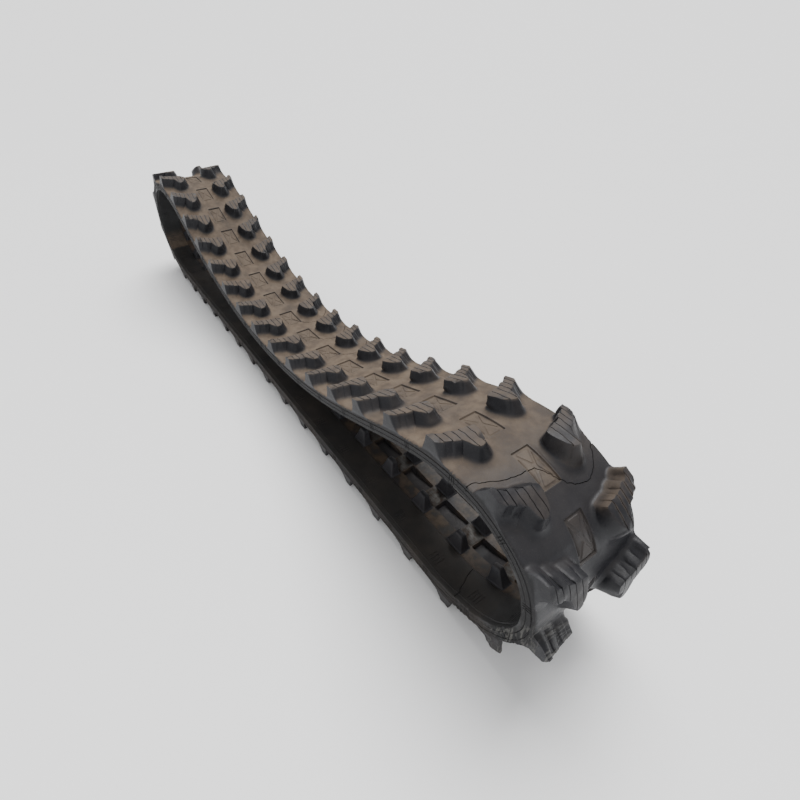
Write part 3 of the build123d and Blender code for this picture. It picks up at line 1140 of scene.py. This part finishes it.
# ---- materials ----
class Nodes:
    """Short calls for building a node tree."""

    def __init__(self, name):
        self.material = bpy.data.materials.new(name)
        self.material.use_nodes = True
        self.tree = self.material.node_tree
        self.tree.nodes.clear()
        self.coords = self.add("ShaderNodeTexCoord", {}, "Object")

    def add(self, kind, inputs, output=0, **settings):
        """Adds a node with these inputs, each a number, a tuple or a socket. Returns one output."""
        node = self.tree.nodes.new(kind)
        for key, value in settings.items():
            setattr(node, key, value)
        for key, value in inputs.items():
            socket = node.inputs[key]
            if isinstance(value, (int, float)):
                socket.default_value = value
            elif isinstance(value, tuple):
                socket.default_value = value if socket.type == "VECTOR" else (*value, 1.0)
            else:
                self.tree.links.new(value, socket)
        return node.outputs[output] if node.outputs else None

    def noise(self, scale, detail=4.0, rough=0.6, coords=None, distortion=0.0):
        inputs = {"Vector": coords or self.coords, "Scale": scale, "Detail": detail, "Roughness": rough,
                  "Distortion": distortion}
        return self.add("ShaderNodeTexNoise", inputs, "Fac")

    def stretch(self, scale):
        return self.add("ShaderNodeMapping", {"Vector": self.coords, "Scale": scale})

    def attribute(self, name):
        return self.add("ShaderNodeAttribute", {}, "Fac", attribute_name=name)

    def ramp(self, source, low, high, to_low=0.0, to_high=1.0):
        inputs = {"Value": source, "From Min": low, "From Max": high, "To Min": to_low, "To Max": to_high}
        return self.add("ShaderNodeMapRange", inputs, "Result", interpolation_type="SMOOTHSTEP")

    def plus(self, a, b, clamp=False):
        return self.add("ShaderNodeMath", {0: a, 1: b}, operation="ADD", use_clamp=clamp)

    def times(self, a, b, clamp=False):
        return self.add("ShaderNodeMath", {0: a, 1: b}, operation="MULTIPLY", use_clamp=clamp)

    def mix(self, share, a, b):
        return self.add("ShaderNodeMix", {0: share, 6: a, 7: b}, 2, data_type="RGBA")

    def bump(self, height, distance, strength, under=None):
        inputs = {"Height": height, "Distance": distance, "Strength": strength}
        if under:
            inputs["Normal"] = under
        return self.add("ShaderNodeBump", inputs)

    def finish(self, color, roughness, normal, metallic=0.0, specular=0.5):
        shader = self.add("ShaderNodeBsdfPrincipled",
                          {"Base Color": color, "Roughness": roughness, "Normal": normal,
                           "Metallic": metallic, "Specular IOR Level": specular})
        self.add("ShaderNodeOutputMaterial", {"Surface": shader})
        return self.material


def rubber_material():
    n = Nodes("dusty_rubber_with_painted_shade")
    broad = n.noise(28.0, 5.0)
    patchy = n.noise(60.0, 5.0, 0.55)
    grain = n.noise(900.0, 3.0)
    specks = n.ramp(n.noise(1500.0, 2.0), 0.68, 0.74)
    rubber = n.mix(n.ramp(broad, 0.3, 0.7), (0.019, 0.0195, 0.023), (0.032, 0.032, 0.036))
    rubber = n.mix(n.times(n.attribute("inner"), 0.7), rubber, (0.024, 0.024, 0.023))
    # painted shade: darker rubber on the belt's side bands
    rubber = n.mix(n.times(n.attribute("side"), 0.75), rubber, (0.013, 0.0125, 0.012))
    # painted shade: the lug walls, downward faces and the near arch are painted darker than the rubber
    rubber = n.mix(n.times(n.attribute("wall"), 0.8, clamp=True), rubber, (0.010, 0.010, 0.012))
    earth = n.mix(n.ramp(patchy, 0.3, 0.72), (0.100, 0.074, 0.053), (0.142, 0.109, 0.080))
    amount = n.times(n.attribute("dust"), n.ramp(patchy, 0.15, 0.6, 0.8, 1.06))
    amount = n.times(amount, n.ramp(grain, 0.25, 0.6, 0.8, 1.05), clamp=True)
    color = n.mix(amount, rubber, earth)
    mud = n.mix(n.ramp(patchy, 0.35, 0.65), (0.022, 0.018, 0.014), (0.080, 0.057, 0.038))
    scratch = n.ramp(n.noise(250.0, 3.0, 0.6, n.stretch((1.0, 0.07, 0.2)), 0.5), 0.5, 0.64)
    scuffed = n.times(n.attribute("scuff"), scratch, clamp=True)
    color = n.mix(n.times(scuffed, 0.8), color, (0.115, 0.112, 0.104))
    muddy = n.times(n.attribute("mud"), n.ramp(patchy, 0.3, 0.55, 0.35, 1.0), clamp=True)
    color = n.mix(muddy, color, mud)
    packed = n.times(n.attribute("packed"), n.ramp(patchy, 0.3, 0.6, 0.35, 0.8), clamp=True)
    color = n.mix(packed, color, (0.105, 0.082, 0.062))
    color = n.mix(n.times(specks, 0.35), color, (0.22, 0.20, 0.17))
    # painted shade: the splice line and the crack are painted near black
    color = n.mix(n.attribute("cut"), color, (0.004, 0.004, 0.004))
    roughness = n.plus(n.ramp(amount, 0.0, 0.8, 0.42, 0.8), n.ramp(grain, 0.3, 0.7, -0.05, 0.07))
    roughness = n.plus(roughness, n.times(n.attribute("side"), 0.25), clamp=True)
    relief = n.bump(grain, 0.00022, 0.5)
    relief = n.bump(patchy, 0.0006, 0.5, relief)
    relief = n.bump(scuffed, 0.0012, 0.8, relief)
    return n.finish(color, roughness, relief, specular=0.22)


def steel_material():
    n = Nodes("dull_steel")
    patchy = n.noise(160.0, 6.0, 0.7)
    streaks = n.noise(60.0, 4.0, 0.6, n.stretch((1.0, 12.0, 1.0)))
    rust = n.ramp(patchy, 0.42, 0.68)
    color = n.mix(n.ramp(streaks, 0.3, 0.7), (0.050, 0.047, 0.043), (0.085, 0.080, 0.073))
    color = n.mix(n.times(rust, 0.75), color, (0.055, 0.032, 0.020))
    roughness = n.ramp(patchy, 0.3, 0.7, 0.45, 0.8)
    return n.finish(color, roughness, n.bump(patchy, 0.0003, 0.3), metallic=0.4)


def floor_material():
    n = Nodes("pale_floor")
    color = n.mix(n.noise(3.0, 3.0), (0.93, 0.93, 0.93), (0.95, 0.95, 0.945))
    return n.finish(color, n.ramp(n.noise(40.0), 0.3, 0.7, 0.7, 0.8), n.bump(n.noise(300.0), 0.0002, 0.2))


RUBBER = rubber_material()
STEEL = steel_material()


def dress(obj, material, angle=38.0):
    obj.data.materials.clear()
    obj.data.materials.append(material)
    obj.data.shade_smooth()
    obj.data.set_sharp_from_angle(angle=math.radians(angle))


for obj, _ in skins:
    dress(obj, RUBBER)
    paint(obj)
for obj, body in horns:
    dress(obj, RUBBER)
    paint(obj)
    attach(obj, body)
for obj, body in cores + cords:
    dress(obj, STEEL)
    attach(obj, body)

ground_nodes = [name for name in frame["nodes"] if name.startswith("ground")]
ground_cords = [name for name in ground_nodes if "cord" in name]
ground_rubber = [name for name in ground_nodes if "steel" not in name and name not in ground_cords]
for obj, where in skins:
    if where is None:
        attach(obj, "ground_run")
        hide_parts(*ground_rubber)
        continue
    hinge, half = where
    before, after = body_of(hinge - 1), body_of(hinge % LINKS)
    if half or before == after:
        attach(obj, before if half < 0 else after)
    else:
        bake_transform(obj)
    if hinge < LINKS and half >= 0:
        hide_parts(f"link_{hinge:02d}_rubber")
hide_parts("ground_steel_cores")
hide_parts(*ground_cords)
for (core, _), link in zip(cores[1:], range(FLAT_LINKS, LINKS)):
    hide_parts(f"link_{link:02d}_steel")


# ---- floor, light and camera ----
def add_floor():
    mesh = bpy.data.meshes.new("floor")
    size = 400.0
    corners = [(-size, -size, 0), (size, -size, 0), (size, size, 0), (-size, size, 0)]
    mesh.from_pydata(corners, [], [(0, 1, 2, 3)])
    floor = linked("floor", mesh)
    mesh.materials.append(floor_material())
    floor.location.z = -0.0005


def add_front_light():
    data = bpy.data.lights.new("front", "AREA")
    data.shape = "RECTANGLE"
    data.size, data.size_y = 1.6, 1.6
    data.energy = 8
    lamp = linked("front", data)
    spot, aim = Vector((1.3, -1.5, 1.3)), Vector((0.1, 0, 0.1))
    lamp.location = spot
    lamp.rotation_euler = (aim - spot).to_track_quat("-Z", "Y").to_euler()


def add_sun(direction, strength, spread):
    """A soft light from one direction that falls evenly on the whole floor."""
    data = bpy.data.lights.new("sky", "SUN")
    data.energy = strength
    data.angle = math.radians(spread)
    lamp = linked("sky", data)
    lamp.rotation_euler = Vector(direction).to_track_quat("Z", "Y").to_euler()


def add_camera():
    data = bpy.data.cameras.new("camera")
    data.sensor_width = 36.0
    data.lens = 490.3 / 800 * 36.0
    data.shift_x = 0.0364
    data.shift_y = -0.0621
    data.clip_start = 0.02
    data.clip_end = 1000.0
    camera = linked("camera", data)
    camera.location = (HINGE[0, 0] * MM + 0.1989, -0.3135, 0.5932)
    forward = Vector((-0.671, 0.455, -0.585)).normalized()
    camera.rotation_euler = forward.to_track_quat("-Z", "Y").to_euler()
    bpy.context.scene.camera = camera


add_floor()
add_sun((-0.35, 0.35, 1.0), 4.25, 45.0)
add_front_light()
world = bpy.data.worlds.new("world")
world.use_nodes = True
world.node_tree.nodes["Background"].inputs[0].default_value = (0.88, 0.885, 0.90, 1)
world.node_tree.nodes["Background"].inputs[1].default_value = 0.72
bpy.context.scene.world = world
add_camera()
